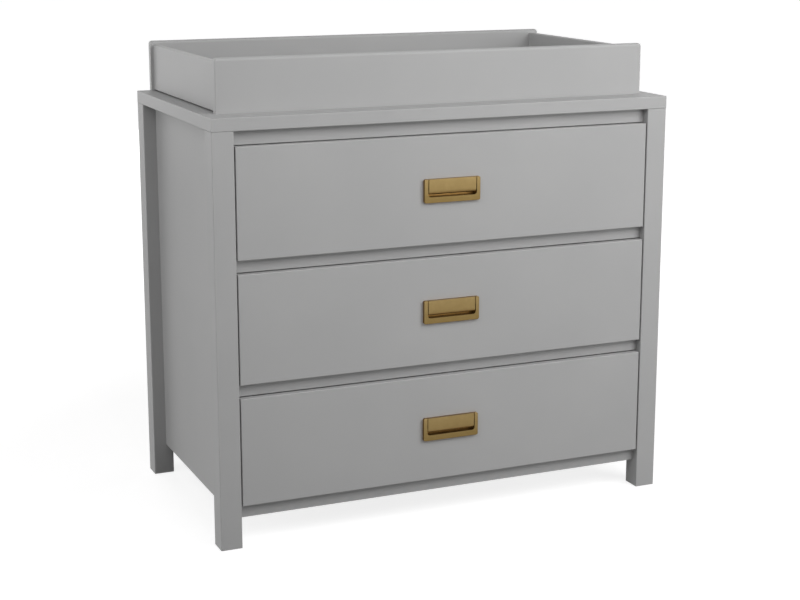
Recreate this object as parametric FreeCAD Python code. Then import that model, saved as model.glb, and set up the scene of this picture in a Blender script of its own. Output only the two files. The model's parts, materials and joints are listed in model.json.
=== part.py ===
import FreeCAD, Part
import math
import os

Vector = FreeCAD.Vector

# A changing dresser: a four-legged carcass with three drawers on roller slides,
# and a tray for a changing pad screwed to the back edge of its top.
# Millimetres. X runs to the right seen from the front, Y to the back, Z up.
# The origin is on the floor, in the middle of the carcass.

# Carcass
carcass_width = 970.0
carcass_depth = 531.0
top_height = 839.0  # floor to the top surface
top_thickness = 25.5
leg_size = 43.0  # square legs
side_panel_thickness = 16.0
side_panel_floor_gap = 66.0
rail_thickness = 15.0
back_rail_height = 60.0
board_edge_radius = 1.5  # eased edges of painted boards
panel_edge_radius = 1.0  # eased edges of thinner boards

# Drawer fronts, and the rails that stop them
drawer_count = 3
drawer_front_height = 215.0
drawer_front_thickness = 15.0
drawer_front_gap = 27.0  # shadow gap between two fronts
top_reveal = 29.0  # gap between the top panel and the first front
bottom_reveal = 28.0  # how far the bottom rail shows below the last front
drawer_side_gap = 2.5  # between a front and a leg
drawer_recess = 1.0  # fronts sit this far behind the legs' faces
drawer_closing_gap = 1.0  # between a closed front and the rails
rail_gap = 1.0  # a front's upper edge to the rail above it
rail_overlap = 10.0  # how far a rail reaches up behind a front

# Drawer boxes
slide_space = 12.5  # between the carcass and a drawer box, each side
drawer_board = 12.0
drawer_box_height = 160.0
drawer_box_lift = 18.0  # box above the lower edge of its front
drawer_back_clearance = 45.5  # drawer box to the back rails
drawer_bottom_thickness = 3.0
drawer_bottom_height = 8.0  # groove above the lower edge of the box
drawer_groove_depth = 6.0
groove_clearance = 0.2
drawer_side_top_radius = 3.0

# Roller slides, both members as long as the drawer box
slide_sheet = 1.2
slide_setback = 2.0  # cabinet member behind the closed front
slide_lift = 16.0  # cabinet member above the lower edge of the front
channel_height = 24.0
channel_floor_width = 10.0
channel_roof_width = 8.0
channel_lip_height = 3.5
slide_stop_height = 5.0
slide_overlap = 115.0  # length of both members that still overlaps when a drawer is open
roller_radius = 10.0
roller_width = 6.0
roller_wall_gap = 1.0  # roller to the channel's web
roller_running_gap = 0.3  # roller to the face that it rolls on
roller_end_distance = 14.0  # roller axle from the end of its member
axle_radius = 2.5
axle_clearance = 0.08
axle_end = 0.6  # how far an axle stands out of its roller
runner_roof_gap = 1.0  # drawer member's flange above the channel
runner_drop = 21.0  # drawer member's web, from the top of its flange down

# Back panel
back_panel_thickness = 3.0
back_panel_recess = 1.5  # panel behind the legs' back faces
back_panel_rebate = 10.0  # how far a back leg covers the panel
joiner_flange_width = 14.0
joiner_sheet = 1.0
joiner_clearance = 0.1

# Changing tray
tray_end_inset = 27.5  # tray to the end of the top, each side
tray_front_setback = 60.0
tray_height = 104.0
tray_board = 15.0
tray_side_inset = 6.0  # end boards in from the long boards' ends
tray_side_drop = 8.0  # end boards lower than the long boards
tray_side_lift = 3.0  # shadow gap below the end boards
tray_top_radius = 6.0
tray_side_top_radius = 2.5
tray_end_radius = 2.0

# Mending plates that hold the tray
plate_length = 64.0
plate_width = 16.0
plate_thickness = 1.8
plate_above_joint = 6.0  # plate's middle above the top surface
plate_from_tray_end = 150.0

# Foot glides
glide_radius = 12.0
glide_thickness = 1.5

# Cup pulls
pull_width = 120.0
pull_height = 47.0
pull_plate_thickness = 7.0
pull_corner_radius = 3.5
pull_edge_bevel = 0.6
hood_width = 102.0
hood_raise = 0.6  # hood's face in front of the plate
hood_thickness = 2.4
hood_curl_radius = 7.0  # outer radius of the rolled lower edge
hood_corner_radius = 5.0
hood_edge_bevel = 0.6
hood_groove_width = 1.5
mouth_height = 5.0  # finger opening, below the hood
mouth_corner_radius = 6.0
lower_bar_height = 11.5
cup_depth = 10.5  # behind the drawer front's face
cup_wall = 1.5
cup_rise = 24.0  # cup's inside above the mouth's lower edge
cup_corner_radius = 4.0
pocket_clearance = 0.4

# Places worked out from the sizes above
front_y = -carcass_depth / 2
back_y = carcass_depth / 2
end_x = carcass_width / 2
inner_x = end_x - leg_size
top_underside = top_height - top_thickness
drawer_face_y = front_y + drawer_recess
drawer_back_face_y = drawer_face_y + drawer_front_thickness
rail_face_y = drawer_back_face_y + drawer_closing_gap
drawer_pitch = drawer_front_height + drawer_front_gap
first_front_bottom = top_underside - top_reveal - drawer_front_height
last_front_bottom = first_front_bottom - (drawer_count - 1) * drawer_pitch
rail_bottom = last_front_bottom - bottom_reveal
panel_face_y = back_y - back_panel_recess - back_panel_thickness
box_x = inner_x - slide_space
drawer_groove_height = drawer_bottom_thickness + groove_clearance
box_back_y = panel_face_y - rail_thickness - drawer_back_clearance
slide_length = box_back_y - drawer_back_face_y
drawer_travel = slide_length - slide_overlap
tray_end_x = end_x - tray_end_inset
tray_front_y = front_y + tray_front_setback
runner_flange_height = channel_height + runner_roof_gap
front_axle_height = runner_flange_height - roller_running_gap - roller_radius
rear_axle_height = slide_sheet + roller_running_gap + roller_radius
roller_inner_face = slide_sheet + roller_wall_gap
roller_outer_face = roller_inner_face + roller_width
runner_web_face = slide_space - slide_sheet
cabinet_slide_y = drawer_back_face_y + slide_setback
front_axle_y = cabinet_slide_y + roller_end_distance
rear_axle_y = box_back_y - roller_end_distance
plate_x = tray_end_x - plate_from_tray_end

place_tolerance = 0.001  # when edges are picked by where they lie

parts = {}


def box(low, high):
    """A block between two opposite corners."""
    size = Vector(*high) - Vector(*low)
    return Part.makeBox(size.x, size.y, size.z, Vector(*low))


def edge_span(edge, axis):
    """The lowest and highest coordinate of an edge along X, Y or Z."""
    values = [vertex.Point["XYZ".index(axis)] for vertex in edge.Vertexes]
    return min(values), max(values)


def runs_along(edge, axis):
    low, high = edge_span(edge, axis)
    return high - low > edge.Length - place_tolerance and edge.Length > 2 * place_tolerance


def lies_at(edge, axis, value):
    low, high = edge_span(edge, axis)
    return abs(low - value) < place_tolerance and abs(high - value) < place_tolerance


def eased(shape, radius, along, at=None):
    """The shape with its edges along some axes rounded, all of them or those at one place."""
    edges = [edge for edge in shape.Edges if any(runs_along(edge, axis) for axis in along)]
    if at:
        edges = [edge for edge in edges if lies_at(edge, *at)]
    return shape.makeFillet(radius, edges)


def mirrored(shape):
    """The right-hand copy of a left-hand piece."""
    return shape.mirror(Vector(0, 0, 0), Vector(1, 0, 0))


def extruded(points, direction):
    """A prism from a closed outline of points."""
    outline = Part.makePolygon([Vector(*point) for point in points + points[:1]])
    return Part.Face(outline).extrude(Vector(*direction))


def add_pair(name, shape):
    """Adds a left-hand piece and its mirror image."""
    parts[name + "_left"] = shape
    parts[name + "_right"] = mirrored(shape)


def drawer_bottom_z(number):
    """The lower edge of a drawer front; drawer 1 is the top one."""
    return first_front_bottom - (number - 1) * drawer_pitch


def make_top_panel():
    slab = box((-end_x, front_y, top_underside), (end_x, back_y, top_height))
    return eased(slab, board_edge_radius, "XY")


def make_front_leg():
    leg = box((-end_x, front_y, glide_thickness), (-inner_x, front_y + leg_size, top_underside))
    return eased(leg, board_edge_radius, "Z")


def make_back_leg():
    """The back leg is rebated on its inner back edge, where the back panel lies."""
    front = back_y - leg_size
    leg = box((-end_x, front, glide_thickness), (-inner_x, back_y, top_underside))
    leg = eased(leg, board_edge_radius, "Z")
    rebate = box(
        (-inner_x - back_panel_rebate, panel_face_y, rail_bottom),
        (-inner_x + leg_size, back_y + leg_size, top_underside),
    )
    return leg.cut(rebate)


def make_side_panel():
    panel = box(
        (-inner_x - side_panel_thickness, front_y + leg_size, side_panel_floor_gap),
        (-inner_x, back_y - leg_size, top_underside),
    )
    return eased(panel, panel_edge_radius, "Y", ("Z", side_panel_floor_gap))


def make_front_rail(low, high):
    rail = box((-inner_x, rail_face_y, low), (inner_x, rail_face_y + rail_thickness, high))
    return eased(rail, panel_edge_radius, "X", ("Y", rail_face_y))


def make_front_rails():
    """One rail under the top, one in each gap, and one under the last front."""
    names = ["top_front_rail", "upper_middle_rail", "lower_middle_rail", "bottom_front_rail"]
    fronts = [drawer_bottom_z(number) for number in range(1, drawer_count + 1)]
    lows = [low + drawer_front_height + rail_gap for low in fronts] + [rail_bottom]
    highs = [top_underside] + [low + rail_overlap for low in fronts]
    for name, low, high in zip(names, lows, highs):
        parts[name] = make_front_rail(low, high)


def make_back_rail(low):
    high = low + back_rail_height
    return box((-inner_x, panel_face_y - rail_thickness, low), (inner_x, panel_face_y, high))


def make_back_panel():
    """The left half; it ends at the web of the joining strip."""
    web = joiner_sheet / 2 + joiner_clearance
    outer = inner_x + back_panel_rebate - groove_clearance
    return box(
        (-outer, panel_face_y, rail_bottom),
        (-web, panel_face_y + back_panel_thickness, top_underside),
    )


def make_back_panel_joiner():
    """An H-section strip between the two back rails."""
    low = rail_bottom + back_rail_height
    high = top_underside - back_rail_height
    front = panel_face_y - joiner_clearance - joiner_sheet
    back = panel_face_y + back_panel_thickness + joiner_clearance
    half = joiner_flange_width / 2
    strip = box((-half, front, low), (half, front + joiner_sheet, high))
    strip = strip.fuse(box((-half, back, low), (half, back + joiner_sheet, high)))
    strip = strip.fuse(box((-joiner_sheet / 2, front, low), (joiner_sheet / 2, back + joiner_sheet, high)))
    return strip.removeSplitter()


def make_foot_glides():
    """A nylon disc under the middle of each leg."""
    glides = []
    for x in (-1, 1):
        for y in (-1, 1):
            place = Vector(x * (end_x - leg_size / 2), y * (back_y - leg_size / 2), 0)
            glides.append(Part.makeCylinder(glide_radius, glide_thickness, place))
    return Part.makeCompound(glides)


def make_long_tray_board(front):
    """A front or back board with a rounded top and eased ends."""
    low = (-tray_end_x, front, top_height)
    high = (tray_end_x, front + tray_board, top_height + tray_height)
    board = box(low, high)
    shown_face = low[1] if front < 0 else high[1]
    board = eased(board, tray_end_radius, "Z", ("Y", shown_face))
    return eased(board, tray_top_radius, "X", ("Z", high[2]))


def make_tray_side():
    """An end board, lower than the long boards and lifted off the top."""
    outer = tray_end_x - tray_side_inset
    top = top_height + tray_height - tray_side_drop
    board = box(
        (-outer, tray_front_y + tray_board, top_height + tray_side_lift),
        (-outer + tray_board, back_y - tray_board, top),
    )
    return eased(board, tray_side_top_radius, "Y", ("Z", top))


def make_mending_plates():
    """Two round-ended steel straps over the joint of tray and top."""
    middle = top_height + plate_above_joint
    straight = plate_length - plate_width
    plates = []
    for x in (-plate_x, plate_x):
        strap = box(
            (x - plate_width / 2, back_y, middle - straight / 2),
            (x + plate_width / 2, back_y + plate_thickness, middle + straight / 2),
        )
        for z in (middle - straight / 2, middle + straight / 2):
            end = Part.makeCylinder(plate_width / 2, plate_thickness, Vector(x, back_y, z), Vector(0, 1, 0))
            strap = strap.fuse(end)
        plates.append(strap.removeSplitter())
    return Part.makeCompound(plates)


def make_roller(axle_y, axle_z):
    """A nylon roller on the left side, with its axis along X and a bore for the axle."""
    bore = axle_radius + axle_clearance
    place = Vector(-inner_x + roller_inner_face, axle_y, axle_z)
    along = Vector(1, 0, 0)
    tread = Part.makeCylinder(roller_radius, roller_width, place, along)
    return tread.cut(Part.makeCylinder(bore, roller_width, place, along))


def make_roller_pair(axle_y, axle_z):
    left = make_roller(axle_y, axle_z)
    return Part.makeCompound([left, mirrored(left)])


def make_axle(start, end, axle_y, axle_z):
    """A riveted pin along X, between two distances from the left leg's inner face."""
    place = Vector(-inner_x + start, axle_y, axle_z)
    return Part.makeCylinder(axle_radius, end - start, place, Vector(1, 0, 0))


def make_cabinet_slide(number):
    """The channel on the left side panel, with the front roller's axle and a stop for the rear roller."""
    base = drawer_bottom_z(number) + slide_lift
    wall = -inner_x
    back = cabinet_slide_y + slide_length
    section = [
        (wall, cabinet_slide_y, base),
        (wall + channel_floor_width, cabinet_slide_y, base),
        (wall + channel_floor_width, cabinet_slide_y, base + channel_lip_height),
        (wall + channel_floor_width - slide_sheet, cabinet_slide_y, base + channel_lip_height),
        (wall + channel_floor_width - slide_sheet, cabinet_slide_y, base + slide_sheet),
        (wall + slide_sheet, cabinet_slide_y, base + slide_sheet),
        (wall + slide_sheet, cabinet_slide_y, base + channel_height),
        (wall, cabinet_slide_y, base + channel_height),
    ]
    channel = extruded(section, (0, slide_length, 0))
    roof_start = front_axle_y + roller_end_distance
    roof = box(
        (wall, roof_start, base + channel_height - slide_sheet),
        (wall + channel_roof_width, back, base + channel_height),
    )
    stop_y = rear_axle_y - drawer_travel - roller_radius - roller_running_gap - slide_sheet
    stop = box(
        (wall, stop_y, base),
        (wall + channel_roof_width, stop_y + slide_sheet, base + slide_sheet + slide_stop_height),
    )
    axle = make_axle(0, roller_outer_face + axle_end, front_axle_y, base + front_axle_height)
    return channel.fuse([roof, stop, axle]).removeSplitter()


def make_drawer_slide(number):
    """The runner on the left drawer side: a web with a flange on top, and the rear roller's axle."""
    base = drawer_bottom_z(number) + slide_lift
    web = -inner_x + runner_web_face
    top = base + runner_flange_height + slide_sheet
    low = top - runner_drop
    edge = -inner_x + roller_inner_face
    section = [
        (web, drawer_back_face_y, low),
        (web + slide_sheet, drawer_back_face_y, low),
        (web + slide_sheet, drawer_back_face_y, top),
        (edge, drawer_back_face_y, top),
        (edge, drawer_back_face_y, top - slide_sheet),
        (web, drawer_back_face_y, top - slide_sheet),
    ]
    runner = extruded(section, (0, slide_length, 0))
    axle = make_axle(roller_inner_face - axle_end, runner_web_face, rear_axle_y, base + rear_axle_height)
    return runner.fuse(axle).removeSplitter()


def pull_centre(number):
    """The middle of a drawer front's face, where its pull sits."""
    return Vector(0, drawer_face_y, drawer_bottom_z(number) + drawer_front_height / 2)


def rounded_block(low, high, radius):
    """A block whose outline in XZ has four rounded corners."""
    return eased(box(low, high), radius, "Y")


def make_pull():
    """A cast pull about its own centre: plate, hood with a rolled lower edge, and cup."""
    half_width = pull_width / 2
    half_height = pull_height / 2
    half_mouth = hood_width / 2 + hood_groove_width
    mouth_low = -half_height + lower_bar_height
    cup_top = mouth_low + cup_rise
    plate_front = -pull_plate_thickness
    hood_back = plate_front - hood_raise + hood_thickness

    plate = rounded_block(
        (-half_width, plate_front, -half_height),
        (half_width, 0, half_height),
        pull_corner_radius,
    )
    rim = [edge for edge in plate.Edges if lies_at(edge, "Y", plate_front)]
    plate = plate.makeChamfer(pull_edge_bevel, rim)
    cup = rounded_block(
        (-half_mouth - cup_wall, 0, mouth_low - cup_wall),
        (half_mouth + cup_wall, cup_depth, cup_top + cup_wall),
        cup_corner_radius + cup_wall,
    )
    inside = rounded_block(
        (-half_mouth, hood_back, mouth_low),
        (half_mouth, cup_depth - cup_wall, cup_top),
        cup_corner_radius,
    )
    bed = box(
        (-half_mouth, plate_front - hood_raise, mouth_low),
        (half_mouth, hood_back, half_height + pull_plate_thickness),
    )
    bed = eased(bed, mouth_corner_radius, "Y", ("Z", mouth_low))
    body = plate.fuse(cup).cut(inside.fuse(bed))
    return body.fuse(make_hood(mouth_low + mouth_height, half_height)).removeSplitter()


def make_hood(mouth_high, half_height):
    """The panel over the cup: a J-shaped section in YZ, run along X, with its lower corners rounded."""
    half_hood = hood_width / 2
    face = -pull_plate_thickness - hood_raise
    back = face + hood_thickness
    curl_centre = Vector(-half_hood, face + hood_curl_radius, mouth_high + hood_curl_radius)
    inner_radius = hood_curl_radius - hood_thickness
    diagonal = math.sqrt(0.5)
    top_front = Vector(-half_hood, face, half_height)
    top_back = Vector(-half_hood, back, half_height)
    outer_start = curl_centre + Vector(0, -hood_curl_radius, 0)
    outer_middle = curl_centre + Vector(0, -hood_curl_radius * diagonal, -hood_curl_radius * diagonal)
    outer_end = curl_centre + Vector(0, 0, -hood_curl_radius)
    inner_start = curl_centre + Vector(0, -inner_radius, 0)
    inner_middle = curl_centre + Vector(0, -inner_radius * diagonal, -inner_radius * diagonal)
    inner_end = curl_centre + Vector(0, 0, -inner_radius)
    outline = [
        Part.makeLine(top_back, top_front),
        Part.makeLine(top_front, outer_start),
        Part.Arc(outer_start, outer_middle, outer_end).toShape(),
        Part.makeLine(outer_end, inner_end),
        Part.Arc(inner_end, inner_middle, inner_start).toShape(),
        Part.makeLine(inner_start, top_back),
    ]
    hood = Part.Face(Part.Wire(outline)).extrude(Vector(2 * half_hood, 0, 0))
    sides = [edge for edge in hood.Edges if runs_along(edge, "Z") and lies_at(edge, "Y", face)]
    hood = hood.makeChamfer(hood_edge_bevel, sides)
    rounding = box((-half_hood, face, mouth_high), (half_hood, curl_centre.y, 2 * half_height))
    return hood.common(eased(rounding, hood_corner_radius, "Y", ("Z", mouth_high)))


def make_pocket(number):
    """The recess in a drawer front that takes the pull's cup."""
    half_mouth = hood_width / 2 + hood_groove_width + cup_wall + pocket_clearance
    mouth_low = -pull_height / 2 + lower_bar_height
    cup_top = mouth_low + cup_rise
    margin = cup_wall + pocket_clearance
    pocket = rounded_block(
        (-half_mouth, -cup_depth, mouth_low - margin),
        (half_mouth, cup_depth + pocket_clearance, cup_top + margin),
        cup_corner_radius + margin,
    )
    pocket.translate(pull_centre(number))
    return pocket


def make_drawer_front(number):
    """A front with eased edges, the pull's pocket, and a groove for the drawer bottom."""
    low = drawer_bottom_z(number)
    half = inner_x - drawer_side_gap
    front = box((-half, drawer_face_y, low), (half, drawer_back_face_y, low + drawer_front_height))
    front = eased(front, board_edge_radius, "XZ", ("Y", drawer_face_y))
    groove_z = low + drawer_box_lift + drawer_bottom_height
    groove_half = box_x - drawer_board + drawer_groove_depth
    groove = box(
        (-groove_half, drawer_back_face_y - drawer_groove_depth, groove_z),
        (groove_half, drawer_back_face_y + drawer_groove_depth, groove_z + drawer_groove_height),
    )
    return front.cut(groove).cut(make_pocket(number))


def make_drawer_side(number):
    """A left side with a rounded top edge and a groove for the bottom."""
    low = drawer_bottom_z(number) + drawer_box_lift
    high = low + drawer_box_height
    side = box((-box_x, drawer_back_face_y, low), (-box_x + drawer_board, box_back_y, high))
    side = eased(side, drawer_side_top_radius, "Y", ("Z", high))
    groove_z = low + drawer_bottom_height
    inner_face = -box_x + drawer_board
    groove = box(
        (inner_face - drawer_groove_depth, drawer_back_face_y - drawer_board, groove_z),
        (inner_face + drawer_board, box_back_y + drawer_board, groove_z + drawer_groove_height),
    )
    return side.cut(groove)


def make_drawer_back(number):
    """A back board that stands on the drawer bottom, between the sides."""
    low = drawer_bottom_z(number) + drawer_box_lift
    high = low + drawer_box_height
    half = box_x - drawer_board
    bottom_top = low + drawer_bottom_height + drawer_bottom_thickness
    back = box((-half, box_back_y - drawer_board, bottom_top), (half, box_back_y, high))
    return eased(back, drawer_side_top_radius, "X", ("Z", high))


def make_drawer_bottom(number):
    """A thin panel in the grooves of the front and sides, under the back board."""
    low = drawer_bottom_z(number) + drawer_box_lift + drawer_bottom_height
    half = box_x - drawer_board + drawer_groove_depth - groove_clearance
    return box(
        (-half, drawer_back_face_y - drawer_groove_depth + groove_clearance, low),
        (half, box_back_y, low + drawer_bottom_thickness),
    )


def make_carcass():
    parts["top_panel"] = make_top_panel()
    add_pair("front_leg", make_front_leg())
    add_pair("back_leg", make_back_leg())
    add_pair("side_panel", make_side_panel())
    make_front_rails()
    parts["top_back_rail"] = make_back_rail(top_underside - back_rail_height)
    parts["bottom_back_rail"] = make_back_rail(rail_bottom)
    add_pair("back_panel", make_back_panel())
    parts["back_panel_joiner"] = make_back_panel_joiner()
    parts["foot_glides"] = make_foot_glides()


def make_tray():
    parts["tray_front_board"] = make_long_tray_board(tray_front_y)
    parts["tray_back_board"] = make_long_tray_board(back_y - tray_board)
    add_pair("tray_side_board", make_tray_side())
    parts["tray_mending_plates"] = make_mending_plates()


def make_drawers():
    pull = make_pull()
    for number in range(1, drawer_count + 1):
        name = f"drawer_{number}_"
        base = drawer_bottom_z(number) + slide_lift
        parts[name + "front"] = make_drawer_front(number)
        parts[name + "back"] = make_drawer_back(number)
        parts[name + "bottom"] = make_drawer_bottom(number)
        parts[name + "pull"] = pull.translated(pull_centre(number))
        add_pair(name + "side", make_drawer_side(number))
        add_pair(name + "runner", make_drawer_slide(number))
        add_pair(f"cabinet_slide_{number}", make_cabinet_slide(number))
        parts[f"front_rollers_{number}"] = make_roller_pair(front_axle_y, base + front_axle_height)
        parts[f"rear_rollers_{number}"] = make_roller_pair(rear_axle_y, base + rear_axle_height)


def main():
    os.makedirs("parts", exist_ok=True)
    make_carcass()
    make_tray()
    make_drawers()
    for name, shape in parts.items():
        shape.exportStep(f"parts/{name}.step")


main()
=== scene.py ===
"""The looks of a changing dresser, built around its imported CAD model. Metres, X right, Y back, Z up."""
import json
import math

import bmesh
import bpy
from mathutils import Matrix, Vector


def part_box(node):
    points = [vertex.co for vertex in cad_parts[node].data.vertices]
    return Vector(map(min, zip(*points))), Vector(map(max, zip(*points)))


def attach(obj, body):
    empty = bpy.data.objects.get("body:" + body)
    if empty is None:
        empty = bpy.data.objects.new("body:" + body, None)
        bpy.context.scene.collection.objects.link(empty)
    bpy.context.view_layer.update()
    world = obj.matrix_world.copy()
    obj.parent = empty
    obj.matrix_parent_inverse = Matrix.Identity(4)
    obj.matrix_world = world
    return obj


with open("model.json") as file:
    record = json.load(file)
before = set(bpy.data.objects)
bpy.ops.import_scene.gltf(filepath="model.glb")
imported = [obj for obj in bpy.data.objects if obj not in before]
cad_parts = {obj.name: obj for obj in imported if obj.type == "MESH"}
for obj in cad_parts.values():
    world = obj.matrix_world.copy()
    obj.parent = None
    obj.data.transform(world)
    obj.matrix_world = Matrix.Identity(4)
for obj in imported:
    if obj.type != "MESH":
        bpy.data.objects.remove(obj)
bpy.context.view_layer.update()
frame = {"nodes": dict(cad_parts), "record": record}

# The camera stands where the photograph's did, and is turned and zoomed to bring the object's corners nearest
# to the photograph's
CAMERA_PLACE = (-1.3498, -3.1399, 1.2059)
CAMERA_YAW = math.radians(23.334)  # to the right of +Y
CAMERA_PITCH = math.radians(-12.479)
CAMERA_LENS = 73.93
CAMERA_SHIFT = -0.03
CAMERA_SEES = 100.0  # metres
SENSOR_WIDTH = 36.0  # millimetres, as the lens

EVEN = (1.0, 1.0, 1.0)
WHITE = (1.0, 1.0, 1.0, 1.0)

# Sockets of a Mix node that mixes colours
MIX_FIRST = 6
MIX_SECOND = 7
MIX_RESULT = 2


# Small helpers for node materials

class Nodes:
    """The emptied node tree of a material or world, with short ways to add and join nodes."""

    def __init__(self, owner):
        owner.use_nodes = True
        self.tree = owner.node_tree
        self.tree.nodes.clear()

    def add(self, kind, inputs=None, **settings):
        node = self.tree.nodes.new(kind)
        for key, value in settings.items():
            setattr(node, key, value)
        for key, value in (inputs or {}).items():
            if isinstance(value, bpy.types.NodeSocket):
                self.tree.links.new(value, node.inputs[key])
            else:
                node.inputs[key].default_value = value
        return node

    def place(self, scale=EVEN):
        """The point in the part's own frame, in metres, stretched by scale."""
        coordinates = self.add("ShaderNodeTexCoord")
        mapping = self.add("ShaderNodeMapping", {"Vector": coordinates.outputs["Object"], "Scale": scale})
        return mapping.outputs["Vector"]

    def part_of(self, vector, letter):
        """One of a vector's three numbers."""
        return self.add("ShaderNodeSeparateXYZ", {"Vector": vector}).outputs[letter]

    def noise(self, scale, detail=2.0, roughness=0.5, stretch=EVEN):
        inputs = {"Vector": self.place(stretch), "Scale": scale, "Detail": detail, "Roughness": roughness}
        return self.add("ShaderNodeTexNoise", inputs).outputs["Fac"]

    def spread(self, value, low, high, start=0.3, end=0.7):
        """Goes from low to high as the value goes from start to end."""
        inputs = {"Value": value, "From Min": start, "From Max": end, "To Min": low, "To Max": high}
        return self.add("ShaderNodeMapRange", inputs).outputs["Result"]

    def calculated(self, operation, first, second):
        return self.add("ShaderNodeMath", {0: first, 1: second}, operation=operation).outputs[0]

    def between(self, value, stops):
        """A colour ramp over a 0 to 1 pattern: stops are (position, colour)."""
        ramp = self.add("ShaderNodeValToRGB", {"Fac": value})
        elements = ramp.color_ramp.elements
        while len(elements) < len(stops):
            elements.new(0.5)
        for element, (position, colour) in zip(elements, stops):
            element.position = position
            element.color = (*colour, 1.0)
        return ramp.outputs["Color"]

    def mixed(self, factor, first, second):
        """The first colour, turned into the second, which is plain, by the factor."""
        inputs = {"Factor": factor, MIX_FIRST: first, MIX_SECOND: (*second, 1.0)}
        return self.add("ShaderNodeMix", inputs, data_type="RGBA").outputs[MIX_RESULT]

    def bumped(self, height, distance, strength=1.0, under=None):
        inputs = {"Height": height, "Distance": distance, "Strength": strength}
        if under is not None:
            inputs["Normal"] = under
        return self.add("ShaderNodeBump", inputs).outputs["Normal"]


class Shader(Nodes):
    """A new material and its nodes."""

    def __init__(self, name):
        self.material = bpy.data.materials.new(name)
        super().__init__(self.material)
        self.output = self.add("ShaderNodeOutputMaterial")

    def finish(self, inputs):
        surface = self.add("ShaderNodeBsdfPrincipled", inputs)
        self.tree.links.new(surface.outputs["BSDF"], self.output.inputs["Surface"])
        return self.material


def grey(level, warmth=0.0):
    """A grey, with its red raised and its blue lowered by the share warmth."""
    return (level * (1 + warmth), level, level * (1 - warmth))


def painted(name, level):
    """Sprayed satin paint over board: fine orange peel and a faint cloudiness."""
    s = Shader(name)
    clouds = s.noise(5.0, detail=3.0)
    peel = s.noise(900.0, detail=2.0)
    broad = s.noise(60.0, detail=2.0)
    return s.finish({
        "Base Color": s.between(clouds, [(0.3, grey(level * 0.975)), (0.7, grey(level * 1.02, 0.002))]),
        "Roughness": s.spread(peel, 0.40, 0.50),
        "Normal": s.bumped(peel, 0.00002, 0.4, s.bumped(broad, 0.0001, 0.25)),
        "IOR": 1.45,
        "Specular IOR Level": 0.25,
    })


def laminated(name, level, along):
    """Paper laminate with a printed, lightly embossed grain that runs along one axis."""
    s = Shader(name)
    stretch = tuple(0.04 if axis == along else 1.0 for axis in "XYZ")
    pores = s.noise(1100.0, detail=3.0, roughness=0.6, stretch=stretch)
    figure = s.noise(45.0, detail=4.0, roughness=0.55, stretch=stretch)
    grain = s.between(figure, [(0.32, grey(level * 0.93, 0.012)), (0.5, grey(level, 0.01)),
                               (0.68, grey(level * 1.05, 0.008))])
    return s.finish({
        "Base Color": s.mixed(s.spread(pores, 0.5, 0.0, 0.35, 0.48), grain, grey(level * 0.8, 0.015)),
        "Roughness": s.spread(pores, 0.62, 0.48),
        "Normal": s.bumped(pores, 0.00005, 0.5),
        "Specular IOR Level": 0.3,
    })


def hardboard(name, level):
    """Thin fibre panel with a matt printed face: felted fibres just show through."""
    s = Shader(name)
    fibres = s.noise(420.0, detail=5.0, roughness=0.7)
    clouds = s.noise(9.0, detail=4.0, roughness=0.6)
    flecks = s.add("ShaderNodeTexVoronoi", {"Vector": s.place((1.0, 1.0, 0.35)), "Scale": 600.0})
    fleck = s.calculated("MULTIPLY", s.spread(flecks.outputs["Distance"], 1.0, 0.0, 0.0, 0.25), 0.22)
    base = s.between(clouds, [(0.3, grey(level * 0.95, 0.03)), (0.7, grey(level * 1.04, 0.03))])
    return s.finish({
        "Base Color": s.mixed(fleck, base, grey(level * 0.7, 0.05)),
        "Roughness": s.spread(fibres, 0.7, 0.85),
        "Normal": s.bumped(fibres, 0.0001, 0.45),
        "Specular IOR Level": 0.25,
    })


def powder_coated(name, colour):
    """Epoxy powder coat on folded sheet: a pebbled gloss, rubbed where rollers run."""
    s = Shader(name)
    pebbles = s.noise(1500.0, detail=2.0)
    rubbed = s.noise(30.0, detail=5.0, roughness=0.65, stretch=(1.0, 0.1, 1.0))
    dull = tuple(c * 0.86 for c in colour)
    return s.finish({
        "Base Color": s.between(rubbed, [(0.34, dull), (0.5, colour)]),
        "Roughness": s.spread(pebbles, 0.28, 0.42),
        "Normal": s.bumped(pebbles, 0.00004, 0.5),
    })


def moulded(name, colour, softness=0.08):
    """Moulded plastic with a fine eroded skin."""
    s = Shader(name)
    skin = s.noise(1800.0, detail=3.0, roughness=0.6)
    flow = s.noise(70.0, detail=2.0)
    return s.finish({
        "Base Color": s.between(flow, [(0.3, tuple(c * 0.95 for c in colour)), (0.7, colour)]),
        "Roughness": s.spread(skin, 0.36, 0.52),
        "Normal": s.bumped(skin, 0.00003, 0.4),
        "Subsurface Weight": softness,
        "Subsurface Scale": 0.002,
    })


# Colours of the brass, with painted shade and painted light among them
TARNISHED_GOLD = (0.203, 0.145, 0.061)
CLEAN_GOLD = (0.235, 0.169, 0.074)
BRUSHED_GOLD = (0.278, 0.198, 0.085)  # in the brush's streaks
# Painted shade: darkens the brass towards a pull's lower edge, as if light fell from above
PAINTED_SHADE_GOLD = (0.112, 0.071, 0.018)  # mixed in towards a pull's lower edge
# Patina that the brass has in its hollows, and painted shade too: it darkens the plate's sides, grooves,
# mouth and the faces turned down
PATINA_AND_SHADE = (0.220, 0.119, 0.033)
# Painted light: lighter than the patina, to lift the shade inside the cup
CUP_PAINTED_LIGHT_PATINA = (0.250, 0.155, 0.053)

# How far behind a plate's face the patina with its painted shade, and then the cup's patina with its painted
# light, start, and are full
PATINA_AND_SHADE_DEPTH = (0.0003, 0.0035)
CUP_DEPTH = (0.0065, 0.0085)


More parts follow.
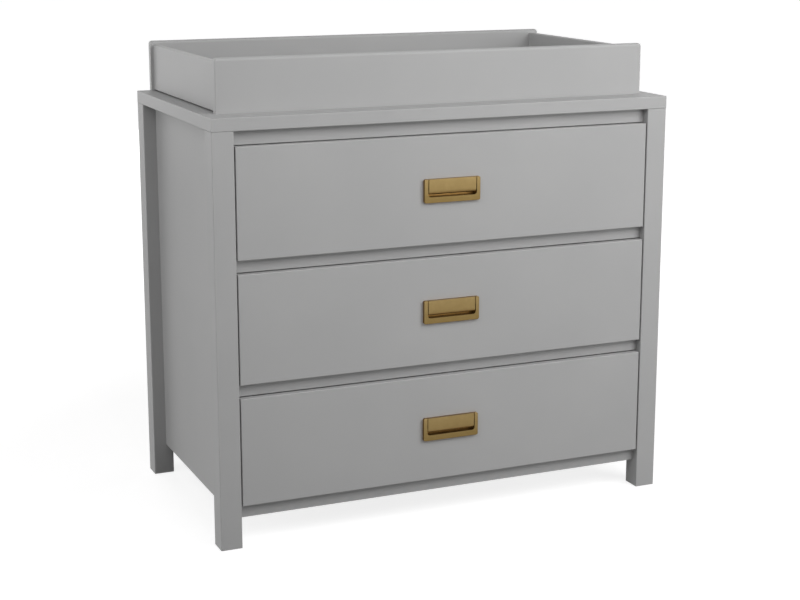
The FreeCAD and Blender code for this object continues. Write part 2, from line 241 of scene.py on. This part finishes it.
def brushed_brass(name, face):
    """Aged brass, brushed along X, whose plate has its front at Y = face.

    Behind that face it keeps a brown patina, which is also painted shade over the plate's sides, grooves and
    mouth, and faces turned down are darkened as painted shade. The cup behind the plate is painted a little
    lighter, as painted light in its shade. Towards the lower edge the brass is darkened as painted shade.
    """
    s = Shader(name)
    brushed = (0.02, 1.0, 1.0)
    lines = s.noise(2600.0, detail=3.0, roughness=0.7, stretch=brushed)
    tarnish = s.noise(90.0, detail=4.0, roughness=0.6)
    streaks = s.noise(500.0, detail=4.0, roughness=0.6, stretch=brushed)
    base = s.between(tarnish, [(0.3, TARNISHED_GOLD), (0.7, CLEAN_GOLD)])
    bright = s.mixed(s.spread(streaks, 0.0, 0.35), base, BRUSHED_GOLD)
    height = s.part_of(s.add("ShaderNodeTexCoord").outputs["Generated"], "Z")
    # Painted shade: the brass is darkened towards the pull's lower edge
    shaded_low = s.mixed(s.spread(height, 0.6, 0.0, 0.0, 1.0), bright, PAINTED_SHADE_GOLD)
    behind = s.part_of(s.place(), "Y")
    patina_shade_start, patina_shade_full = PATINA_AND_SHADE_DEPTH
    # Patina in the hollows and painted shade: darker with depth behind the plate's face, over its sides,
    # grooves and mouth
    depth = s.spread(behind, 0.0, 1.0, face + patina_shade_start, face + patina_shade_full)
    facing_up = s.part_of(s.add("ShaderNodeTexCoord").outputs["Normal"], "Z")
    # Painted shade: faces turned down are darkened as if in shadow
    painted_shade_underneath = s.spread(facing_up, 0.8, 0.0, -0.9, -0.1)
    aged_and_shaded = s.mixed(s.calculated("MAXIMUM", depth, painted_shade_underneath), shaded_low, PATINA_AND_SHADE)
    cup_start, cup_full = CUP_DEPTH
    # Painted light: the cup, deep behind the plate, is painted lighter than its shade
    cup_painted_light = s.spread(behind, 0.0, 1.0, face + cup_start, face + cup_full)
    return s.finish({
        "Base Color": s.mixed(cup_painted_light, aged_and_shaded, CUP_PAINTED_LIGHT_PATINA),
        "Metallic": 1.0,
        "Roughness": s.spread(streaks, 0.34, 0.46),
        "Anisotropic": 0.35,
        "Normal": s.bumped(lines, 0.00001, 0.5),
    })


def zinc_plated(name):
    """Bright zinc plate with a faint rainbow of passivation and cloudy crystals."""
    s = Shader(name)
    crystals = s.add("ShaderNodeTexVoronoi", {"Vector": s.place(), "Scale": 350.0}).outputs["Color"]
    cloud = s.add("ShaderNodeRGBToBW", {"Color": crystals}).outputs["Val"]
    tint = s.noise(120.0, detail=3.0)
    base = s.between(tint, [(0.3, (0.50, 0.52, 0.53)), (0.5, (0.58, 0.57, 0.52)), (0.7, (0.60, 0.62, 0.66))])
    return s.finish({
        "Base Color": base,
        "Metallic": 1.0,
        "Roughness": s.spread(cloud, 0.26, 0.40, 0.0, 1.0),
        "Normal": s.bumped(s.noise(1400.0), 0.00001, 0.5),
    })


PAINT = 0.385
LAMINATE = 0.50
HOOD_RAISE = 0.0006  # how far a pull's hood stands in front of its plate
finishes = {
    "painted_board": painted("satin_grey_paint", PAINT),
    "drawer_board": laminated("grained_laminate_lengthwise", LAMINATE, "Y"),
    "hardboard": hardboard("printed_hardboard", 0.42),
    "slide_steel": powder_coated("white_powder_coat", (0.72, 0.72, 0.70)),
    "nylon": moulded("natural_nylon", (0.78, 0.77, 0.72), 0.15),
    "brass_finish": brushed_brass("brushed_brass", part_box("drawer_1_pull")[0].y + HOOD_RAISE),
    "zinc_steel": zinc_plated("bright_zinc"),
    "joiner_plastic": moulded("grey_extrusion", (0.40, 0.40, 0.395)),
}
crosswise_laminate = laminated("grained_laminate_crosswise", LAMINATE, "X")
clear_bumper = moulded("soft_clear_bumper", (0.70, 0.71, 0.70), 0.3)

slot_of = {part["node"]: part["material_slot"] for part in frame["record"]["subparts"]}
for name, node in frame["nodes"].items():
    finish = finishes[slot_of[name]]
    if name.startswith("drawer_") and name.endswith("_back"):
        finish = crosswise_laminate
    if not node.material_slots:
        node.data.materials.append(finish)
    for material_slot in node.material_slots:
        material_slot.material = finish


# Small fasteners

def lathed(profile, segments):
    """A closed solid of revolution about Z from (radius, height) points that start and end on the axis."""
    mesh = bmesh.new()
    rings = []
    for radius, height in profile:
        if radius == 0:
            rings.append([mesh.verts.new((0, 0, height))])
            continue
        turns = [2 * math.pi * i / segments for i in range(segments)]
        rings.append([mesh.verts.new((radius * math.cos(t), radius * math.sin(t), height)) for t in turns])
    for low, high in zip(rings, rings[1:]):
        for i in range(segments):
            j = (i + 1) % segments
            corners = [low[i % len(low)], low[j % len(low)], high[j % len(high)], high[i % len(high)]]
            mesh.faces.new(dict.fromkeys(corners))
    bmesh.ops.recalc_face_normals(mesh, faces=mesh.faces)
    return mesh


def as_object(name, mesh, smooth=True):
    """A new object in the scene with this mesh, which is used up."""
    data = bpy.data.meshes.new(name)
    mesh.to_mesh(data)
    mesh.free()
    for polygon in data.polygons:
        polygon.use_smooth = smooth
    made = bpy.data.objects.new(name, data)
    bpy.context.scene.collection.objects.link(made)
    return made


TIP_TAPER = (0.55, 0.7)  # a screwdriver's tip against its upper end, along and across a blade
RECESS_WIDTH = 0.26  # of the head's radius, as the next
RECESS_REACH = 0.62
RECESS_DEPTH = 0.55  # of the head's height


def cross_cutter(width, reach, depth, top):
    """The tapered cross of a screwdriver's tip, pointing down -Z."""
    mesh = bmesh.new()
    taper_along, taper_across = TIP_TAPER
    for angle in (0, math.pi / 2):
        turn = Matrix.Rotation(angle, 3, "Z")
        wide = [(-reach, -width / 2), (reach, -width / 2), (reach, width / 2), (-reach, width / 2)]
        narrow = [(x * taper_along, y * taper_across) for x, y in wide]
        upper = [mesh.verts.new(turn @ Vector((x, y, top + depth))) for x, y in wide]
        lower = [mesh.verts.new(turn @ Vector((x, y, top - depth))) for x, y in narrow]
        mesh.faces.new(upper)
        mesh.faces.new(lower[::-1])
        for i in range(4):
            j = (i + 1) % 4
            mesh.faces.new((upper[j], upper[i], lower[i], lower[j]))
    bmesh.ops.recalc_face_normals(mesh, faces=mesh.faces)
    return as_object("cutter", mesh)


def screw_head(radius, height, edge=0.25, segments=40):
    """A domed head with a cross recess, from Z = 0 up to height. Its rim takes the share edge of that."""
    dome = [(0, 0), (radius * 0.96, 0), (radius, height * edge)]
    for step in (0.80, 0.60, 0.40, 0.20):
        rise = height * edge + height * (1 - edge) * math.sqrt(1 - step ** 2)
        dome.append((radius * step, rise))
    dome.append((0, height))
    head = as_object("head", lathed(dome, segments))
    cutter = cross_cutter(radius * RECESS_WIDTH, radius * RECESS_REACH, height * RECESS_DEPTH, height)
    cut = head.modifiers.new("cut", "BOOLEAN")
    cut.object = cutter
    cut.operation = "DIFFERENCE"
    cut.solver = "EXACT"
    cut.use_self = True
    bpy.context.view_layer.update()
    cut_head = head.evaluated_get(bpy.context.evaluated_depsgraph_get())
    mesh = bmesh.new()
    mesh.from_mesh(bpy.data.meshes.new_from_object(cut_head))
    bpy.data.objects.remove(head)
    bpy.data.objects.remove(cutter)
    return mesh


FACING = {
    "+X": Matrix.Rotation(math.pi / 2, 4, "Y"),
    "-X": Matrix.Rotation(-math.pi / 2, 4, "Y"),
    "+Y": Matrix.Rotation(-math.pi / 2, 4, "X"),
    "-Y": Matrix.Rotation(math.pi / 2, 4, "X"),
}


FIRST_TURN = 0.37  # radians, of the first copy about its own axis
NEXT_TURN = 1.93  # from each copy to the next


def scattered(name, body, slot, pattern, places, finish=None):
    """One piece of many copies of a small mesh, each at a place and facing a way, turned a little."""
    mesh = bmesh.new()
    template = bpy.data.meshes.new("template")
    pattern.to_mesh(template)
    for count, (place, facing) in enumerate(places):
        start = len(mesh.verts)
        mesh.from_mesh(template)
        mesh.verts.ensure_lookup_table()
        turn = Matrix.Rotation(FIRST_TURN + NEXT_TURN * count, 4, "Z")
        matrix = Matrix.Translation(place) @ FACING[facing] @ turn
        bmesh.ops.transform(mesh, matrix=matrix, verts=mesh.verts[start:])
    piece = as_object(name, mesh, smooth=False)
    piece.data.materials.append(finish or finishes[slot])
    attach(piece, body)


pan_head = screw_head(0.0036, 0.0019)
flat_head = screw_head(0.0033, 0.0005, edge=0.6)
wide_head = screw_head(0.0055, 0.0022)
cam_disc = screw_head(0.0075, 0.0004, edge=0.7)
pin_profile = [(0, 0), (0.0021, 0), (0.0022, 0.0003), (0.0014, 0.0007), (0, 0.0008)]
pin_head = lathed(pin_profile, 20)
bumper_profile = [(0, 0), (0.0042, 0), (0.0044, 0.0002), (0.0038, 0.0006), (0.0022, 0.0008), (0, 0.0009)]
bumper_dot = lathed(bumper_profile, 28)

# The tray's mending plates
PLATE_HALF_WIDTH = 0.008
PLATE_SCREW_HEIGHTS = (-0.024, -0.013, 0.013, 0.024)  # from the plates' middle

plates_low, plates_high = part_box("tray_mending_plates")
plate_middle = (plates_low.z + plates_high.z) / 2
plate_x = plates_high.x - PLATE_HALF_WIDTH
scattered("tray_plate_screws", "root", "zinc_steel", pan_head, [
    ((x, plates_high.y, plate_middle + z), "+Y")
    for x in (-plate_x, plate_x) for z in PLATE_SCREW_HEIGHTS
])

# The back panels' pins: two rows along the lower and the upper edge, and a column up each outer edge
PIN_ROWS = ((0.020, 0.0), (0.048, 0.045))  # each row's distance from the edge, and how far out it is shifted
PIN_ROW_X = (0.06, 0.15, 0.24, 0.33)
PIN_COLUMN_X = 0.4475
PIN_COLUMN_START = 0.13
PIN_COLUMN_PITCH = 0.1
PIN_COLUMN_COUNT = 7

panel_low, panel_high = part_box("back_panel_left")
pins = []
for edge, inward in ((panel_low.z, 1), (panel_high.z, -1)):
    for inset, shift in PIN_ROWS:
        pins += [((x + shift) * side, edge + inward * inset) for x in PIN_ROW_X for side in (-1, 1)]
for step in range(PIN_COLUMN_COUNT):
    height = PIN_COLUMN_START + PIN_COLUMN_PITCH * step
    pins += [(side * PIN_COLUMN_X, height) for side in (-1, 1)]
scattered("back_panel_pins", "root", "zinc_steel", pin_head,
          [((x, panel_high.y, z), "+Y") for x, z in pins])

# The drawers' fasteners
PULL_SCREW_X = 0.04
PULL_SCREW_DROP = 0.005  # below the pull's upper edge, in the solid band above its cup
CAM_DEPTH = 0.034  # behind the front
CAM_HEIGHTS = (0.052, 0.132)  # above the side's lower edge
BACK_SCREW_INSET = 0.006  # from the side's rear end
BACK_SCREW_HEIGHTS = (0.045, 0.09, 0.135)  # above the side's lower edge
RUNNER_SCREWS_Y = (0.05, 0.19, 0.31)  # behind the front
SLIDE_SCREWS_Y = (0.037, 0.165, 0.293, 0.421)  # behind the slide's front end
SLIDE_SHEET = 0.0012  # the steel of runners and slides
BUMPER_X = 0.42
BUMPER_RISE = 0.005  # above the front's lower edge

rail_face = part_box("top_front_rail")[0].y
for number in (1, 2, 3):
    body = f"drawer_{number}"
    front_low, front_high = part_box(f"drawer_{number}_front")
    side_low, side_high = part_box(f"drawer_{number}_side_left")
    runner_low, runner_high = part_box(f"drawer_{number}_runner_left")
    slide_low, slide_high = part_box(f"cabinet_slide_{number}_left")
    pull_screw_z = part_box(f"drawer_{number}_pull")[1].z - PULL_SCREW_DROP
    runner_z = (runner_low.z + runner_high.z) / 2
    slide_z = (slide_low.z + slide_high.z) / 2
    cams, backs, runners, slides = [], [], [], []
    for side, outward, inward in ((1, "-X", "+X"), (-1, "+X", "-X")):  # 1 is the left, -1 mirrors it
        board_x = side * side_low.x
        runner_x = side * (side_low.x - SLIDE_SHEET)
        slide_x = side * (slide_low.x + SLIDE_SHEET)
        cams += [((board_x, front_high.y + CAM_DEPTH, side_low.z + z), outward) for z in CAM_HEIGHTS]
        backs += [((board_x, side_high.y - BACK_SCREW_INSET, side_low.z + z), outward)
                  for z in BACK_SCREW_HEIGHTS]
        runners += [((runner_x, front_high.y + y, runner_z), outward) for y in RUNNER_SCREWS_Y]
        slides += [((slide_x, slide_low.y + y, slide_z), inward) for y in SLIDE_SCREWS_Y]
    scattered(f"drawer_{number}_pull_screws", body, "zinc_steel", wide_head,
              [((x, front_high.y, pull_screw_z), "+Y") for x in (-PULL_SCREW_X, PULL_SCREW_X)])
    scattered(f"drawer_{number}_cams", body, "zinc_steel", cam_disc, cams)
    scattered(f"drawer_{number}_back_screws", body, "zinc_steel", flat_head, backs)
    scattered(f"drawer_{number}_runner_screws", body, "zinc_steel", flat_head, runners)
    scattered(f"cabinet_slide_{number}_screws", "root", "zinc_steel", flat_head, slides)
    bumpers = [((side * BUMPER_X, rail_face, front_low.z + BUMPER_RISE), "-Y") for side in (-1, 1)]
    scattered(f"drawer_{number}_bumpers", "root", "nylon", bumper_dot, bumpers, clear_bumper)


# Floor, world, lamps and camera

WORLD_LIGHT = 0.02  # the world's light on the object, where 1 is white
FLOOR_GREY = (0.30, 0.30, 0.30, 1.0)  # for the light that it throws on the object
FLOOR_SHOWN = (0.40, 0.40, 0.40, 1.0)  # where it shows, under its glow
GLOW_NEAR = 0.80  # the object's shadow still shows on it
GLOW_FAR = 1.0
GLOW_NEAR_TO = 0.9  # metres from the middle
GLOW_FAR_FROM = 2.2
FLOOR_REACH = 20.0  # from the middle to each edge


def shows_background(nodes):
    """1 for the rays that show the background: camera, mirror and see-through rays."""
    rays = nodes.add("ShaderNodeLightPath").outputs
    either = nodes.calculated("MAXIMUM", rays["Is Camera Ray"], rays["Is Glossy Ray"])
    return nodes.calculated("MAXIMUM", either, rays["Is Transmission Ray"])


def make_floor():
    """White as the background, and lit near the object, where it keeps the object's shadow."""
    s = Shader("white_floor")
    distance = s.add("ShaderNodeVectorMath", {0: s.place()}, operation="LENGTH").outputs["Value"]
    strength = s.spread(distance, GLOW_NEAR, GLOW_FAR, GLOW_NEAR_TO, GLOW_FAR_FROM)
    plain = s.add("ShaderNodeBsdfDiffuse", {"Color": FLOOR_GREY})
    shown = s.add("ShaderNodeBsdfDiffuse", {"Color": FLOOR_SHOWN})
    glow = s.add("ShaderNodeEmission", {"Color": WHITE, "Strength": strength})
    white = s.add("ShaderNodeAddShader", {0: shown.outputs[0], 1: glow.outputs[0]})
    mix = s.add("ShaderNodeMixShader", {0: shows_background(s), 1: plain.outputs[0], 2: white.outputs[0]})
    s.tree.links.new(mix.outputs[0], s.output.inputs["Surface"])
    mesh = bmesh.new()
    bmesh.ops.create_grid(mesh, x_segments=8, y_segments=8, size=FLOOR_REACH)
    floor = as_object("floor", mesh)
    floor.data.materials.append(s.material)


def make_world():
    """White where it shows, and a faint light on the object."""
    world = bpy.data.worlds.new("studio")
    bpy.context.scene.world = world
    s = Nodes(world)
    lit = s.add("ShaderNodeBackground", {"Color": WHITE, "Strength": WORLD_LIGHT})
    white = s.add("ShaderNodeBackground", {"Color": WHITE, "Strength": 1.0})
    mix = s.add("ShaderNodeMixShader", {0: shows_background(s), 1: lit.outputs[0], 2: white.outputs[0]})
    s.add("ShaderNodeOutputWorld", {"Surface": mix.outputs[0]})


# Soft boxes round the object: name, degrees to the right of the front, degrees above level, how far away,
# how wide, watts
LAMPS = [
    ("key_high", 33, 35, 2.8, 1.5, 25.0),
    ("key_low", 33, 10, 2.8, 1.5, 26.5),
    ("key_side", 60, 10, 2.8, 1.5, 5.5),
    ("front", 0, 35, 2.8, 1.5, 17.5),
    ("front_left", -30, 35, 2.8, 1.5, 8.0),
    ("left_high", -60, 35, 2.8, 1.5, 14.0),
    ("left_low", -90, 10, 6.0, 3.2, 107.0),
    ("back_left", -150, 10, 2.8, 1.5, 9.5),
    ("back", 180, 0, 6.0, 1.8, 150.0),
    ("right_low", 105, 1, 6.0, 1.8, 85.0),
]
NOT_REFLECTED = ("back",)  # it stands where the top would mirror it
LAMP_TARGET = Vector((0.0, 0.0, 0.75))


def make_lamp(name, azimuth, elevation, distance, size, power):
    data = bpy.data.lights.new(name, "AREA")
    data.shape = "SQUARE"
    data.size = size
    data.energy = power
    turn, rise = math.radians(azimuth), math.radians(elevation)
    level = math.cos(rise)
    outward = Vector((math.sin(turn) * level, -math.cos(turn) * level, math.sin(rise)))
    lamp = bpy.data.objects.new(name, data)
    lamp.location = LAMP_TARGET + outward * distance
    lamp.rotation_euler = (-outward).to_track_quat("-Z", "Y").to_euler()
    lamp.visible_camera = False
    lamp.visible_glossy = name not in NOT_REFLECTED
    bpy.context.scene.collection.objects.link(lamp)


def make_camera():
    data = bpy.data.cameras.new("camera")
    data.sensor_width = SENSOR_WIDTH
    data.lens = CAMERA_LENS
    data.shift_y = CAMERA_SHIFT
    data.clip_end = CAMERA_SEES
    camera = bpy.data.objects.new("camera", data)
    camera.location = CAMERA_PLACE
    level = math.cos(CAMERA_PITCH)
    forward = Vector((math.sin(CAMERA_YAW) * level, math.cos(CAMERA_YAW) * level, math.sin(CAMERA_PITCH)))
    camera.rotation_euler = forward.to_track_quat("-Z", "Y").to_euler()
    bpy.context.scene.collection.objects.link(camera)
    bpy.context.scene.camera = camera


make_floor()
make_world()
for lamp in LAMPS:
    make_lamp(*lamp)
make_camera()
bpy.context.scene.view_settings.view_transform = "Standard"
